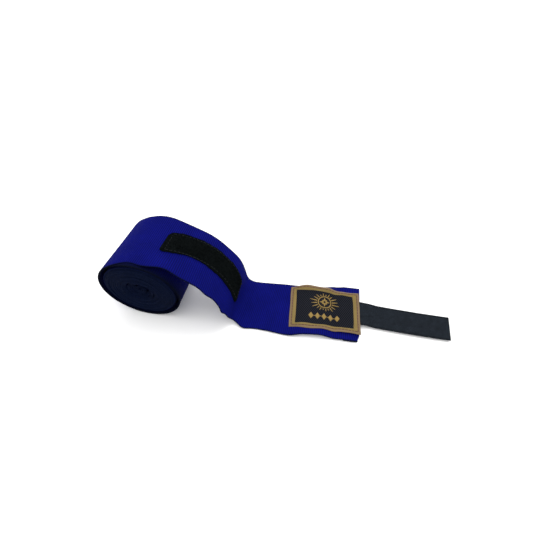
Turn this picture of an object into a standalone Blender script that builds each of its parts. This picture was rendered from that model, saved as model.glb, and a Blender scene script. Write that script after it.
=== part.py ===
"""Elastic hand wrap, partly unrolled: the roll, the drape with its loop strip, the labelled end and the hook strap.

Metres, +Z up. The flat end of the band lies along +X. The origin is the bottom centre of the bounding box.
"""

import math

import bmesh
import bpy
from mathutils import Matrix, Vector

MM = 0.001
GAP = 0.3 * MM  # air between pieces that touch on the real wrap

# Band
BAND_THICKNESS = 0.8 * MM
BAND_WIDTH = 50.0 * MM  # at the sewn end
DRAPE_WIDTH = 49.4 * MM  # on the drape
NECK_WIDTH = 45.5 * MM  # where it meets the table, drawn narrow by the stretch

# Roll: an oval, flattened a little under its own weight, tapering and leaning towards its far end
ROLL_HALF_LENGTH = 31.6 * MM
ROLL_HALF_HEIGHT = 29.0 * MM
ROLL_WIDTH = 55.0 * MM  # over its slipped turns
ROLL_TAPER = 0.065
ROLL_LEAN = 3.0 * MM
ROLL_CORE = 7.6 * MM
ROLL_TURNS = 20
ROLL_STEPS = 24  # facets in one turn
ROLL_STAGGER = 1.6 * MM  # how far inner turns have slipped sideways
ROLL_EDGES = (-26.6 * MM, 26.4 * MM)  # the band's two edges on its outer turns
ROLL_X = -98.85 * MM
ROLL_Y = 2.2 * MM
ROLL_HEADING = math.radians(-4.6)  # the way the band leaves the roll, seen from above

# Drape from the roll's top to the table: along the heading, and height of the band's upper face
LIFT_HINGE = 3.0 * MM
SHOULDER = ((3.15 * MM, 57.86 * MM), (30.0 * MM, 58.3 * MM), (63.0 * MM, 34.0 * MM), (66.5 * MM, 8.0 * MM))
LANDING = ((66.5 * MM, 8.0 * MM), (67.2 * MM, 2.6 * MM), (69.5 * MM, 0.8 * MM), (73.8 * MM, 0.8 * MM))
DRAPE_DRIFT = -3.0 * MM  # sideways drift of the centre line by the landing
DRAPE_SETTLE = 45.0 * MM  # length over which the roll's taper and lean fade out
CREASE_SKEW = math.radians(-3.4)  # the landing line against the roll's axis

# Flat end
TAIL_END_X = 63.55 * MM
TAIL_Y = -6.5 * MM
HEM_LENGTH = 12.0 * MM
HEM_RAMP = 8.0 * MM

# Loop strip sewn on the drape, measured along the drape from the lift hinge
LOOP_START = 13.5 * MM
LOOP_LENGTH = 72.0 * MM
LOOP_WIDTH = 20.0 * MM
LOOP_THICKNESS = 1.5 * MM
LOOP_OFFSET = 1.0 * MM  # sideways, at its two ends
LOOP_BOW = 4.0 * MM  # further sideways, at its middle

# Label
LABEL_LENGTH = 56.0 * MM
LABEL_WIDTH = 37.5 * MM
LABEL_OFFSET = 0.8 * MM
LABEL_THICKNESS = 0.6 * MM
BORDER_END = 5.2 * MM
BORDER_SIDE = 3.6 * MM
BORDER_THICKNESS = 1.0 * MM
EMBLEM_RADIUS = 8.0 * MM
EMBLEM_SHIFT = 4.6 * MM
BAR_LENGTH = 26.0 * MM
BAR_WIDTH = 4.2 * MM
BAR_SHIFT = -8.0 * MM
MOTIF_X = -27.0 * MM  # both motifs' centre, back from the band's end
MOTIF_THICKNESS = 0.4 * MM

# Hook strap
STRAP_WIDTH = 21.0 * MM
STRAP_THICKNESS = 0.8 * MM
STRAP_TAB = 13.0 * MM  # under the label
STRAP_FREE = 68.2 * MM
STRAP_FOLD = 4.0 * MM  # the fold line, past the band's end
STRAP_OFFSET = 0.8 * MM
STRAP_DRIFT = -5.4 * MM  # sideways at the far end
STRAP_BOW = -1.3 * MM
STRAP_DROP_END = 14.0 * MM
HOOK_THICKNESS = 0.9 * MM
HOOK_MARGIN = 1.0 * MM

# Thread
THREAD_WIDTH = 0.7 * MM
THREAD_HEIGHT = 0.4 * MM

# Thumb loop: the band's inner end turned back into a loop, pressed flat and rolled up inside the core
THUMB_TAPE = 0.6 * MM
THUMB_HALF_GAP = 0.6 * MM  # half the distance between its two layers
THUMB_INNER = 1.7 * MM
THUMB_OUTER = 4.8 * MM
THUMB_TURNS = 1.6
THUMB_STEPS = 32
THUMB_WIDTH = 46.0 * MM

UP = Vector((0.0, 0.0, 1.0))


def clear_scene():
    for old in list(bpy.data.objects):
        bpy.data.objects.remove(old, do_unlink=True)


def material(name, colour, roughness):
    made = bpy.data.materials.new(name)
    made.use_nodes = True
    shader = made.node_tree.nodes["Principled BSDF"]
    shader.inputs["Base Color"].default_value = (*colour, 1.0)
    shader.inputs["Roughness"].default_value = roughness
    shader.inputs["Metallic"].default_value = 0.0
    return made


def smooth(t):
    t = min(max(t, 0.0), 1.0)
    return t * t * (3.0 - 2.0 * t)


def spread(start, end, steps):
    return [start + (end - start) * i / steps for i in range(steps + 1)]


def add_solid(name, rings, closed, finish):
    """Skin a row of four-cornered sections into one solid, with end caps unless the row is closed."""
    mesh = bmesh.new()
    rows = [[mesh.verts.new(corner) for corner in ring] for ring in rings]
    count = len(rows)
    for i in range(count if closed else count - 1):
        this, following = rows[i], rows[(i + 1) % count]
        for k in range(4):
            mesh.faces.new((this[k], this[(k + 1) % 4], following[(k + 1) % 4], following[k]))
    if not closed:
        mesh.faces.new(rows[0])
        mesh.faces.new(rows[-1])
    return finish_solid(name, mesh, finish)


def finish_solid(name, mesh, finish):
    bmesh.ops.recalc_face_normals(mesh, faces=mesh.faces)
    data = bpy.data.meshes.new(name)
    mesh.to_mesh(data)
    mesh.free()
    data.materials.append(finish)
    data.shade_smooth()
    data.set_sharp_from_angle(angle=math.radians(35.0))
    made = bpy.data.objects.new(name, data)
    bpy.context.scene.collection.objects.link(made)
    return made


def slab(name, surface, stations, edges, bottom, top, finish):
    """A strip on a surface: edges(station) gives its two sides, and bottom and top its heights above."""
    rings = []
    for station in stations:
        low, high = edges(station)
        corners = ((low, bottom), (high, bottom), (high, top), (low, top))
        rings.append([surface(station, side, height) for side, height in corners])
    return add_solid(name, rings, False, finish)


def window(name, surface, ends, sides, border, bottom, top, steps, finish):
    """A four-sided frame on a surface; border is its width at the ends and along the sides."""
    inner_ends = (ends[0] + border[0], ends[1] - border[0])
    inner_sides = (sides[0] + border[1], sides[1] - border[1])

    def perimeter(e, s):
        along = spread(e[0], e[1], steps)
        near = [(x, s[0]) for x in along[:-1]]
        far = [(x, s[1]) for x in reversed(along[1:])]
        return near + [(e[1], s[0])] + far + [(e[0], s[1])]

    rings = []
    for outer, inner in zip(perimeter(ends, sides), perimeter(inner_ends, inner_sides)):
        rings.append([surface(*outer, bottom), surface(*inner, bottom), surface(*inner, top), surface(*outer, top)])
    return add_solid(name, rings, True, finish)


def plate(name, surface, outline, centre, bottom, top, finish):
    """A flat motif: an outline seen whole from its centre, given in the surface's own directions."""
    mesh = bmesh.new()
    layers = []
    for height in (bottom, top):
        hub = mesh.verts.new(surface(*centre, height))
        rim = [mesh.verts.new(surface(x, y, height)) for x, y in outline]
        layers.append((hub, rim))
    count = len(outline)
    for i in range(count):
        j = (i + 1) % count
        for hub, rim in layers:
            mesh.faces.new((hub, rim[i], rim[j]))
        low, high = layers[0][1], layers[1][1]
        mesh.faces.new((low[i], low[j], high[j], high[i]))
    return finish_solid(name, mesh, finish)


# Directions of the roll, seen from above
FORWARD = Vector((math.cos(ROLL_HEADING), math.sin(ROLL_HEADING), 0.0))
ACROSS = Vector((-math.sin(ROLL_HEADING), math.cos(ROLL_HEADING), 0.0))
ROLL_BASE = Vector((ROLL_X, ROLL_Y, 0.0))


def taper(side):
    return 1.0 - ROLL_TAPER * (side / ROLL_WIDTH + 0.5)


def lean(side):
    return ROLL_LEAN * (side / ROLL_WIDTH + 0.5)


LAST_ANGLE = math.acos((LIFT_HINGE - GAP / 2) / ROLL_HALF_LENGTH)  # where the roll ends, just past its top
ROLL_PITCH = (ROLL_HALF_LENGTH - ROLL_CORE) / ROLL_TURNS
BOTTOM_RADIUS = ROLL_HALF_LENGTH - ROLL_PITCH * (1.5 * math.pi - LAST_ANGLE) / (2.0 * math.pi)
ROLL_RISE = 2.0 * ROLL_HALF_HEIGHT / (1.0 + BOTTOM_RADIUS / ROLL_HALF_LENGTH)
ROLL_CENTRE = 2.0 * ROLL_HALF_HEIGHT - ROLL_RISE


def roll_surface(turn, side, height):
    """Outer face of the spiral: turn counts from the core, height is measured outwards."""
    angle = LAST_ANGLE + 2.0 * math.pi * (ROLL_TURNS - turn)
    radius = ROLL_CORE + ROLL_PITCH * turn + height
    slip = ROLL_STAGGER * math.sin(math.pi * turn / 5.0) * smooth((ROLL_TURNS - turn) / 3.0)
    forward = radius * math.cos(angle) * taper(side) + lean(side)
    up = taper(side) * (ROLL_CENTRE + ROLL_RISE * radius / ROLL_HALF_LENGTH * math.sin(angle))
    return ROLL_BASE + FORWARD * forward + ACROSS * (side + slip) + UP * up


def bezier(points, t):
    a, b, c, d = (Vector(p) for p in points)
    s = 1.0 - t
    return a * s**3 + b * (3.0 * s * s * t) + c * (3.0 * s * t * t) + d * t**3


DRAPE_LINE = [bezier(SHOULDER, i / 40.0) for i in range(41)] + [bezier(LANDING, i / 16.0) for i in range(1, 17)]


def line_length(line):
    return sum((b - a).length for a, b in zip(line, line[1:]))


DRAPE_LENGTH = line_length(DRAPE_LINE)


def drape_at(distance):
    """Place and direction on the drape's side view, at a distance from its start."""
    left = min(max(distance, 0.0), DRAPE_LENGTH)
    for a, b in zip(DRAPE_LINE, DRAPE_LINE[1:]):
        step = (b - a).length
        if left <= step or b is DRAPE_LINE[-1]:
            return a.lerp(b, left / step), (b - a).normalized()
        left -= step


def drape_surface(distance, side, height):
    place, direction = drape_at(distance)
    early = 1.0 - smooth(distance / DRAPE_SETTLE)
    late = smooth((distance / DRAPE_LENGTH - 0.5) / 0.5)
    turn = ROLL_HEADING + CREASE_SKEW * late
    sideways = Vector((-math.sin(turn), math.cos(turn), 0.0))
    outward = UP * direction.x - FORWARD * direction.y
    forward = place.x + lean(side) * early
    up = place.y * (1.0 + (taper(side) - 1.0) * early)
    middle = ROLL_BASE + FORWARD * forward + UP * up + ACROSS * (DRAPE_DRIFT * late)
    return middle + sideways * side + outward * height


TAIL_LENGTH = TAIL_END_X - drape_surface(DRAPE_LENGTH, 0.0, 0.0).x


def drape_edges(distance):
    half = (DRAPE_WIDTH + (NECK_WIDTH - DRAPE_WIDTH) * smooth(distance / DRAPE_LENGTH - 0.2)) / 2
    return -half, half


def loop_edges(distance):
    t = (distance - LOOP_START) / LOOP_LENGTH
    middle = LOOP_OFFSET + LOOP_BOW * 4.0 * t * (1.0 - t)
    return middle - LOOP_WIDTH / 2, middle + LOOP_WIDTH / 2


def loop_surface(distance, side, height):
    low, high = loop_edges(distance)
    return drape_surface(distance, (low + high) / 2 + side, height)


def tail_surface(x, side, height):
    """The flat end: x is measured back from the band's end, and the inner end follows the skewed landing line."""
    crease = drape_surface(DRAPE_LENGTH, side, 0.0)
    start = Vector((crease.x + 1.5 * GAP, crease.y, 0.0))
    finish = Vector((TAIL_END_X, TAIL_Y + side, 0.0))
    t = 1.0 + x / TAIL_LENGTH
    eased = Vector((start.x + (finish.x - start.x) * t, start.y + (finish.y - start.y) * smooth(1.6 * t), 0.0))
    return eased + UP * height


def stack_height(x):
    """Upper face of what lies under the label: band alone, then turned hem, band and strap tab."""
    hem = BAND_THICKNESS + GAP
    tab = STRAP_THICKNESS + GAP
    rise = smooth((x + HEM_LENGTH + HEM_RAMP + 2.0 * MM) / HEM_RAMP)
    return BAND_THICKNESS + (hem + tab) * rise


def label_surface(x, side, height):
    return Vector((TAIL_END_X + x, TAIL_Y + LABEL_OFFSET + side, stack_height(x) + height))


def strap_top(distance):
    """Upper face of the strap: level over the hem, then down until its hooks meet the table."""
    high = 2.0 * (BAND_THICKNESS + GAP) + BAND_THICKNESS
    low = HOOK_THICKNESS + GAP + STRAP_THICKNESS
    return high + (low - high) * smooth((distance - STRAP_FOLD) / (STRAP_DROP_END - STRAP_FOLD))


def strap_surface(distance, side, height):
    t = max(distance, 0.0) / STRAP_FREE
    drift = STRAP_DRIFT * t + STRAP_BOW * 4.0 * t * (1.0 - t)
    slope = (STRAP_DRIFT + STRAP_BOW * 4.0 * (1.0 - 2.0 * t)) / STRAP_FREE
    heading = math.atan(slope)
    sideways = Vector((-math.sin(heading), math.cos(heading), 0.0))
    back = math.tan(heading) * min(distance, 0.0)
    middle = Vector((TAIL_END_X + distance, TAIL_Y + STRAP_OFFSET + drift + back, strap_top(distance)))
    return middle + sideways * side + UP * height


def make_roll(finish):
    turns = spread(0.0, float(ROLL_TURNS), ROLL_TURNS * ROLL_STEPS)

    def edges(turn):
        drawn_in = smooth(2.0 * (turn - ROLL_TURNS) + 1.0)
        return [roll + (drape - roll) * drawn_in for roll, drape in zip(ROLL_EDGES, drape_edges(0.0))]

    slab("band_roll", roll_surface, turns, edges, -BAND_THICKNESS, 0.0, finish)


def make_drape(finish):
    stations = spread(0.0, DRAPE_LENGTH, 36)
    slab("band_drape", drape_surface, stations, drape_edges, -BAND_THICKNESS, 0.0, finish)


def make_tail(finish):
    """The flat end of the band, with its cut edge turned under in a hem."""
    step = BAND_THICKNESS + GAP
    fold = step / 2
    centre = BAND_THICKNESS / 2
    path = [(x, centre) for x in spread(-TAIL_LENGTH, -HEM_LENGTH - HEM_RAMP, 14)]
    for x in spread(-HEM_LENGTH - HEM_RAMP, -HEM_LENGTH - 1.0 * MM, 6)[1:]:
        path.append((x, centre + step * smooth((x + HEM_LENGTH + HEM_RAMP) / (HEM_RAMP - 1.0 * MM))))
    path.append((-fold - centre, centre + step))
    for angle in spread(math.pi / 2, -math.pi / 2, 6):
        path.append((-fold - centre + fold * math.cos(angle), centre + fold + fold * math.sin(angle)))
    path.append((-HEM_LENGTH, centre))
    rings = []
    for i, (x, z) in enumerate(path):
        before = Vector(path[max(i - 1, 0)])
        after = Vector(path[min(i + 1, len(path) - 1)])
        along = (after - before).normalized()
        half = (NECK_WIDTH + (BAND_WIDTH - NECK_WIDTH) * smooth(1.0 + x / TAIL_LENGTH)) / 2
        ring = []
        for side, way in ((-half, -1.0), (half, -1.0), (half, 1.0), (-half, 1.0)):
            offset = centre * way
            ring.append(tail_surface(x - along.y * offset, side, z + along.x * offset))
        rings.append(ring)
    add_solid("band_tail", rings, False, finish)


def make_loop_strip(tape, thread):
    stations = spread(LOOP_START, LOOP_START + LOOP_LENGTH, 30)
    slab("loop_strip", drape_surface, stations, loop_edges, GAP, GAP + LOOP_THICKNESS, tape)
    inset = 1.6 * MM
    ends = (LOOP_START + inset, LOOP_START + LOOP_LENGTH - inset)
    sides = (inset - LOOP_WIDTH / 2, LOOP_WIDTH / 2 - inset)
    base = 2.0 * GAP + LOOP_THICKNESS
    border = (THREAD_WIDTH, THREAD_WIDTH)
    window("loop_strip_stitching", loop_surface, ends, sides, border, base, base + THREAD_HEIGHT, 30, thread)


def make_label(panel, border, gold, thread):
    ends = (-LABEL_LENGTH, 0.0)
    sides = (-LABEL_WIDTH / 2, LABEL_WIDTH / 2)
    band = (BORDER_END, BORDER_SIDE)
    window("label_border", label_surface, ends, sides, band, GAP, GAP + BORDER_THICKNESS, 24, border)

    stations = spread(ends[0] + BORDER_END + GAP, ends[1] - BORDER_END - GAP, 22)
    half = LABEL_WIDTH / 2 - BORDER_SIDE - GAP
    slab("label_panel", label_surface, stations, lambda x: (-half, half), GAP, GAP + LABEL_THICKNESS, panel)

    inset = (BORDER_END / 2 - THREAD_WIDTH / 2, BORDER_SIDE / 2 - THREAD_WIDTH / 2)
    seam_ends = (ends[0] + inset[0], ends[1] - inset[0])
    seam_sides = (sides[0] + inset[1], sides[1] - inset[1])
    base = 2.0 * GAP + BORDER_THICKNESS
    seam = (THREAD_WIDTH, THREAD_WIDTH)
    window("label_stitching", label_surface, seam_ends, seam_sides, seam, base, base + THREAD_HEIGHT, 24, thread)

    points = 16
    rim = []
    for i in range(2 * points):
        radius = EMBLEM_RADIUS * (1.0 if i % 2 == 0 else 0.82)
        angle = math.pi * i / points
        rim.append((MOTIF_X + radius * math.cos(angle), EMBLEM_SHIFT + radius * math.sin(angle)))
    base = 2.0 * GAP + LABEL_THICKNESS
    top = base + MOTIF_THICKNESS
    plate("label_emblem", label_surface, rim, (MOTIF_X, EMBLEM_SHIFT), base, top, gold)

    reach = BAR_LENGTH / 2
    body = reach - BAR_WIDTH / 2
    bar = [(reach, 0.0)] + [(x, BAR_WIDTH / 2) for x in spread(body, -body, 6)]
    bar += [(-reach, 0.0)] + [(x, -BAR_WIDTH / 2) for x in spread(-body, body, 6)]
    outline = [(MOTIF_X + x, BAR_SHIFT + y) for x, y in bar]
    plate("label_bar", label_surface, outline, (MOTIF_X, BAR_SHIFT), base, top, gold)


def make_strap(tape, hooks):
    half = STRAP_WIDTH / 2

    def edges(distance):
        return -half, half

    under = spread(-STRAP_TAB, STRAP_FOLD - GAP / 2, 6)
    slab("hook_strap_tab", strap_surface, under, edges, -STRAP_THICKNESS, 0.0, tape)
    free = spread(STRAP_FOLD + GAP / 2, STRAP_FREE, 24)
    slab("hook_strap", strap_surface, free, edges, -STRAP_THICKNESS, 0.0, tape)

    inner = half - HOOK_MARGIN
    top = -STRAP_THICKNESS - GAP
    field = spread(STRAP_FOLD + 2.0 * MM, STRAP_FREE - HOOK_MARGIN, 22)
    slab("strap_hooks", strap_surface, field, lambda d: (-inner, inner), top - HOOK_THICKNESS, top, hooks)


def make_thumb_loop(finish, thread):
    """The closed loop's two layers run side by side along a short spiral and turn round at both ends."""
    near = -THUMB_WIDTH / 2

    def spiral(t):
        radius = THUMB_INNER + (THUMB_OUTER - THUMB_INNER) * t
        angle = -2.0 * math.pi * THUMB_TURNS * t
        return Vector((radius * math.cos(angle), radius * math.sin(angle)))

    def frame(t):
        along = (spiral(min(t + 0.01, 1.0)) - spiral(max(t - 0.01, 0.0))).normalized()
        return spiral(t), along, Vector((-along.y, along.x))

    line = []
    for t in spread(0.0, 1.0, THUMB_STEPS):
        place, along, out = frame(t)
        line.append((place + out * THUMB_HALF_GAP, out))
    for end, first in ((1.0, 1.0), (0.0, -1.0)):
        place, along, out = frame(end)
        for angle in spread(0.0, math.pi, 6)[1:-1]:
            way = out * (first * math.cos(angle)) + along * (first * math.sin(angle))
            line.append((place + way * THUMB_HALF_GAP, way))
        if end == 1.0:
            for t in spread(1.0, 0.0, THUMB_STEPS):
                place, along, out = frame(t)
                line.append((place - out * THUMB_HALF_GAP, -out))
    rings = []
    half = THUMB_TAPE / 2
    for place, out in line:
        ring = []
        for side, way in ((near, -1.0), (near + THUMB_WIDTH, -1.0), (near + THUMB_WIDTH, 1.0), (near, 1.0)):
            flat = place + out * (half * way)
            forward = flat.x * taper(side) + lean(side)
            up = (flat.y * ROLL_RISE / ROLL_HALF_LENGTH + ROLL_CENTRE) * taper(side)
            ring.append(ROLL_BASE + FORWARD * forward + UP * up + ACROSS * side)
        rings.append(ring)
    add_solid("thumb_loop", rings, True, finish)

    stations = spread(0.04, 0.14, 4)
    inside = -BAND_THICKNESS - GAP
    tack = (near + 4.0 * MM, near + THUMB_WIDTH - 4.0 * MM)
    slab("thumb_loop_stitching", roll_surface, stations, lambda t: tack, inside - THREAD_HEIGHT, inside, thread)


def set_origin(names, pivot):
    """Put the pieces' origins on the fold line they turn about, without moving them."""
    for name in names:
        piece = bpy.data.objects[name]
        piece.data.transform(Matrix.Translation(-pivot))
        piece.location = pivot


def build():
    clear_scene()
    band = material("band_weave", (0.02, 0.015, 0.42), 0.85)
    loops = material("loop_pile", (0.012, 0.012, 0.014), 0.95)
    thread = material("dark_thread", (0.03, 0.03, 0.035), 0.7)
    panel = material("label_weave", (0.03, 0.035, 0.05), 0.7)
    border = material("gold_tape", (0.42, 0.30, 0.12), 0.6)
    gold = material("gold_thread", (0.55, 0.42, 0.16), 0.5)
    seam = material("plum_thread", (0.17, 0.09, 0.09), 0.7)
    tape = material("strap_tape", (0.025, 0.03, 0.04), 0.7)
    hooks = material("hook_nylon", (0.02, 0.02, 0.022), 0.5)
    make_roll(band)
    make_thumb_loop(band, thread)
    make_drape(band)
    make_loop_strip(loops, thread)
    make_tail(band)
    make_label(panel, border, gold, seam)
    make_strap(tape, hooks)

    lift = roll_surface(ROLL_TURNS, 0.0, 0.0).lerp(drape_surface(0.0, 0.0, 0.0), 0.5)
    set_origin(("band_drape", "loop_strip", "loop_strip_stitching"), lift)
    crease = drape_surface(DRAPE_LENGTH, 0.0, 0.0).lerp(tail_surface(-TAIL_LENGTH, 0.0, BAND_THICKNESS), 0.5)
    label = ("label_border", "label_panel", "label_stitching", "label_emblem", "label_bar")
    set_origin(("band_tail", "hook_strap_tab", *label), crease)
    set_origin(("hook_strap", "strap_hooks"), strap_surface(STRAP_FOLD, 0.0, 0.0))


build()
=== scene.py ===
"""Looks of the elastic hand wrap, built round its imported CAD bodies. Metres, +Z up."""

import math

import bpy
import numpy as np
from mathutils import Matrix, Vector


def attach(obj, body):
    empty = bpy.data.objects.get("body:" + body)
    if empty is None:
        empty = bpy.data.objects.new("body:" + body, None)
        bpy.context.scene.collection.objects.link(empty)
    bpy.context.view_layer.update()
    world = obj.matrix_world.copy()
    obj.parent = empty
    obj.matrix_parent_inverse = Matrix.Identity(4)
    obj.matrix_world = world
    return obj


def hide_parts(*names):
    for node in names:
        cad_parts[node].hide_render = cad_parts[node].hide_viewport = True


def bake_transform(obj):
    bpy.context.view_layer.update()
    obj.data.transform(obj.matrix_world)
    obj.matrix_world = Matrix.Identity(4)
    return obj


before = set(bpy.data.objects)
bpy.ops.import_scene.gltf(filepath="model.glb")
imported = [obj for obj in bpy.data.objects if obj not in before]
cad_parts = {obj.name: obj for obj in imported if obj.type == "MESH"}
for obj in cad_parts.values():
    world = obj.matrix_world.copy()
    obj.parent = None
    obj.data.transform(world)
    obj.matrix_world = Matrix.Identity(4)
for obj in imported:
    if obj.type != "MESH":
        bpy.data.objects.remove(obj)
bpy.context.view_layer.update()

MM = 0.001
RNG = np.random.default_rng(7)

# ---------------- the CAD's own surfaces
GAP = 0.3 * MM
BAND = 0.8 * MM  # thickness of the flat band
BAND_WIDTH = 50.0 * MM
DRAPE_WIDTH = 49.4 * MM
NECK_WIDTH = 45.5 * MM

ROLL_R = 31.6 * MM
ROLL_H = 29.0 * MM
ROLL_WIDTH = 55.0 * MM
ROLL_TAPER = 0.065
ROLL_LEAN = 3.0 * MM
ROLL_BASE = np.array([-98.85, 2.2, 0.0]) * MM
HEADING = math.radians(-4.6)
ROLL_SAG = np.array([-1.1, 0.0, 0.0]) * MM  # the wound cloth leans away from the drape
LIFT_HINGE = 3.0 * MM
SHOULDER = np.array([(3.15, 57.86), (30.0, 58.3), (63.0, 34.0), (66.5, 8.0)]) * MM
LANDING = np.array([(66.5, 8.0), (67.2, 2.6), (69.5, 0.8), (73.8, 0.8)]) * MM
DRAPE_DRIFT = -3.0 * MM
DRAPE_SETTLE = 45.0 * MM
CREASE_SKEW = math.radians(-3.4)
TAIL_END = np.array([63.55, -6.5, 0.0]) * MM
HEM_LENGTH = 12.0 * MM
HEM_RAMP = 8.0 * MM

LOOP_START = 11.6 * MM
LOOP_LENGTH = 72.0 * MM
LOOP_WIDTH = 20.0 * MM
LOOP_OFFSET = 1.0 * MM
LOOP_BOW = 4.0 * MM
LOOP_CORNER = 3.8 * MM

LABEL_LENGTH = 56.0 * MM
LABEL_WIDTH = 37.5 * MM
LABEL_OFFSET = 0.1 * MM
BORDER_END = 5.4 * MM
BORDER_SIDE = 4.2 * MM
EMBLEM = np.array([-28.2, 5.6]) * MM
EMBLEM_RADIUS = 8.5 * MM
BAR = np.array([-28.5, -7.6]) * MM
BAR_LENGTH = 26.0 * MM
BAR_WIDTH = 6.0 * MM

STRAP_WIDTH = 21.0 * MM
STRAP = 0.8 * MM  # thickness
STRAP_TAB = 13.0 * MM
STRAP_FREE = 68.2 * MM
STRAP_FOLD = 4.0 * MM
STRAP_OFFSET = 0.3 * MM
STRAP_DRIFT = -5.4 * MM
STRAP_BOW = -0.6 * MM
STRAP_DROP_END = 14.0 * MM
HOOKS = 0.9 * MM

UP = np.array([0.0, 0.0, 1.0])
FORWARD = np.array([math.cos(HEADING), math.sin(HEADING), 0.0])
ACROSS = np.array([-math.sin(HEADING), math.cos(HEADING), 0.0])
LAST_ANGLE = math.acos((LIFT_HINGE - GAP / 2) / ROLL_R)


def smooth(t):
    t = np.clip(t, 0.0, 1.0)
    return t * t * (3.0 - 2.0 * t)


def ease(t, start, width):
    """0 up to start, 1 from start + width on."""
    return smooth((t - start) / width)


def bump(t, centre, width):
    """A rounded hill of height 1."""
    return np.exp(-(((t - centre) / width) ** 2))


def col(a):
    return np.asarray(a, float)[..., None]


def unit_length(v):
    return v / np.maximum(np.linalg.norm(v, axis=-1, keepdims=True), 1e-12)


def lengths(line):
    """Distance of each point along a line."""
    return np.concatenate([[0.0], np.cumsum(np.linalg.norm(np.diff(line, axis=0), axis=1))])


def taper(side):
    return 1.0 - ROLL_TAPER * (side / ROLL_WIDTH + 0.5)


def lean(side):
    return ROLL_LEAN * (side / ROLL_WIDTH + 0.5)


# ---------------- the wound band
WIND_TURNS = 38
WIND_STEPS = 72  # facets in one turn
WIND_BAND = 0.60 * MM  # the band pressed by its winding
WIND_CORE = 6.6 * MM
WIND_PITCH = (ROLL_R - WIND_CORE) / WIND_TURNS
CORE_OVAL = 0.88 * MM  # how far the innermost turn is squeezed
RUN_TURN = 0.46  # share of the last turn that belongs to the free run's mesh
BOTTOM = ROLL_R - WIND_PITCH * (1.5 * math.pi - LAST_ANGLE) / (2.0 * math.pi)  # radius at the table
RISE = 2.0 * ROLL_H / (1.0 + BOTTOM / ROLL_R)
CENTRE = 2.0 * ROLL_H - RISE
# Loose places between inner turns: turn, angle in degrees, half width in degrees, height in mm
SLACK = (
    (0.6, 200, 38, 1.3),
    (1.7, 30, 34, 1.5),
    (2.7, 300, 30, 1.3),
    (3.9, 140, 36, 1.6),
    (5.0, 350, 30, 1.2),
    (6.1, 235, 28, 0.9),
    (7.2, 70, 34, 0.8),
    (8.6, 165, 30, 0.7),
    (10.2, 320, 26, 0.6),
)


def roll_point(ahead, over, side):
    """A point in the roll: ahead of and over its centre on its round end, and side along its axis."""
    forward = ahead * taper(side) + lean(side)
    up = taper(side) * (CENTRE + RISE * over / ROLL_R)
    return ROLL_BASE + ROLL_SAG + col(forward) * FORWARD + col(side) * ACROSS + col(up) * UP


def wind_slack(turn, angle):
    """How far a turn is pushed out by the loose places inside it; each fades over the next turns."""
    total = np.zeros_like(turn)
    for at, degrees, half, height in SLACK:
        opened = ease(turn, at, 0.8) * (1.0 - ease(turn, at + 0.8, WIND_TURNS * 0.45))
        away = (angle - math.radians(degrees) + math.pi) % (2.0 * math.pi) - math.pi
        total = total + height * MM * opened * bump(away, 0.0, math.radians(half))
    return total


def wind_point(turn, side, height):
    """A point on the winding, at a turn counted from the core and a height over the turn's outer face."""
    angle = LAST_ANGLE + 2.0 * math.pi * (WIND_TURNS - turn)
    radius = WIND_CORE + WIND_PITCH * turn + height + wind_slack(turn, angle % (2.0 * math.pi))
    radius = radius - CORE_OVAL * smooth((4.0 - turn) / 4.0) * np.abs(np.sin(angle))
    return roll_point(radius * np.cos(angle), radius * np.sin(angle), side)


def wind_half(turn):
    """Half the band's width on the winding; the last turns are looser and wider."""
    out = WIND_TURNS - turn
    return BAND_WIDTH / 2 + (1.1 * smooth((2.2 - out) / 0.8) - 0.4 * smooth((0.4 - out) / 0.4) - 0.2) * MM


def wind_shift(turn):
    """Sideways slip of each turn: the inner disc stands out to the near side, the turns round it sit back."""
    out = WIND_TURNS - turn
    outer = smooth((2.0 - out) / 0.5)
    disc = 1.0 - smooth((5.8 - out) / 0.5)
    slip = disc * (-3.0 + 1.3 * smooth((10.2 - out) / 4.4)) + 3.4 * (1.0 - disc) * (1.0 - outer)
    slip += -1.6 * outer + 1.8 * smooth((0.1 - out) / 0.1)
    ripple = 0.26 * np.sin(turn * 2.1) + 0.2 * np.sin(turn * 5.3 + 1.0) + 0.15 * np.sin(turn * 11.9 + 2.0)
    ripple += 0.14 * np.sin(turn * 2.0 * math.pi + 0.7 * turn)
    core = 2.3 * smooth((7.0 - turn) / 7.0) + 0.8 * smooth((5.0 - turn) / 5.0) * np.sin(turn * 7.0)
    return (slip + ripple * (1.0 - smooth((2.0 - out) / 1.5)) + core) * MM


# ---------------- the free run of the band
def bezier(points, t):
    t = col(t)
    s = 1.0 - t
    return points[0] * s**3 + points[1] * 3 * s * s * t + points[2] * 3 * s * t * t + points[3] * t**3


DRAPE_LINE = np.concatenate(
    [bezier(SHOULDER, np.linspace(0, 1, 81)), bezier(LANDING, np.linspace(0, 1, 33))[1:]]
)
DRAPE_AT = lengths(DRAPE_LINE)
DRAPE_LENGTH = DRAPE_AT[-1]
DRAPE_STEP = 0.6 * MM  # half the distance over which its direction is taken


def drape_at(distance):
    """Side-view place of the drape's upper face."""
    return np.stack([np.interp(distance, DRAPE_AT, DRAPE_LINE[:, k]) for k in range(2)], -1)


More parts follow.
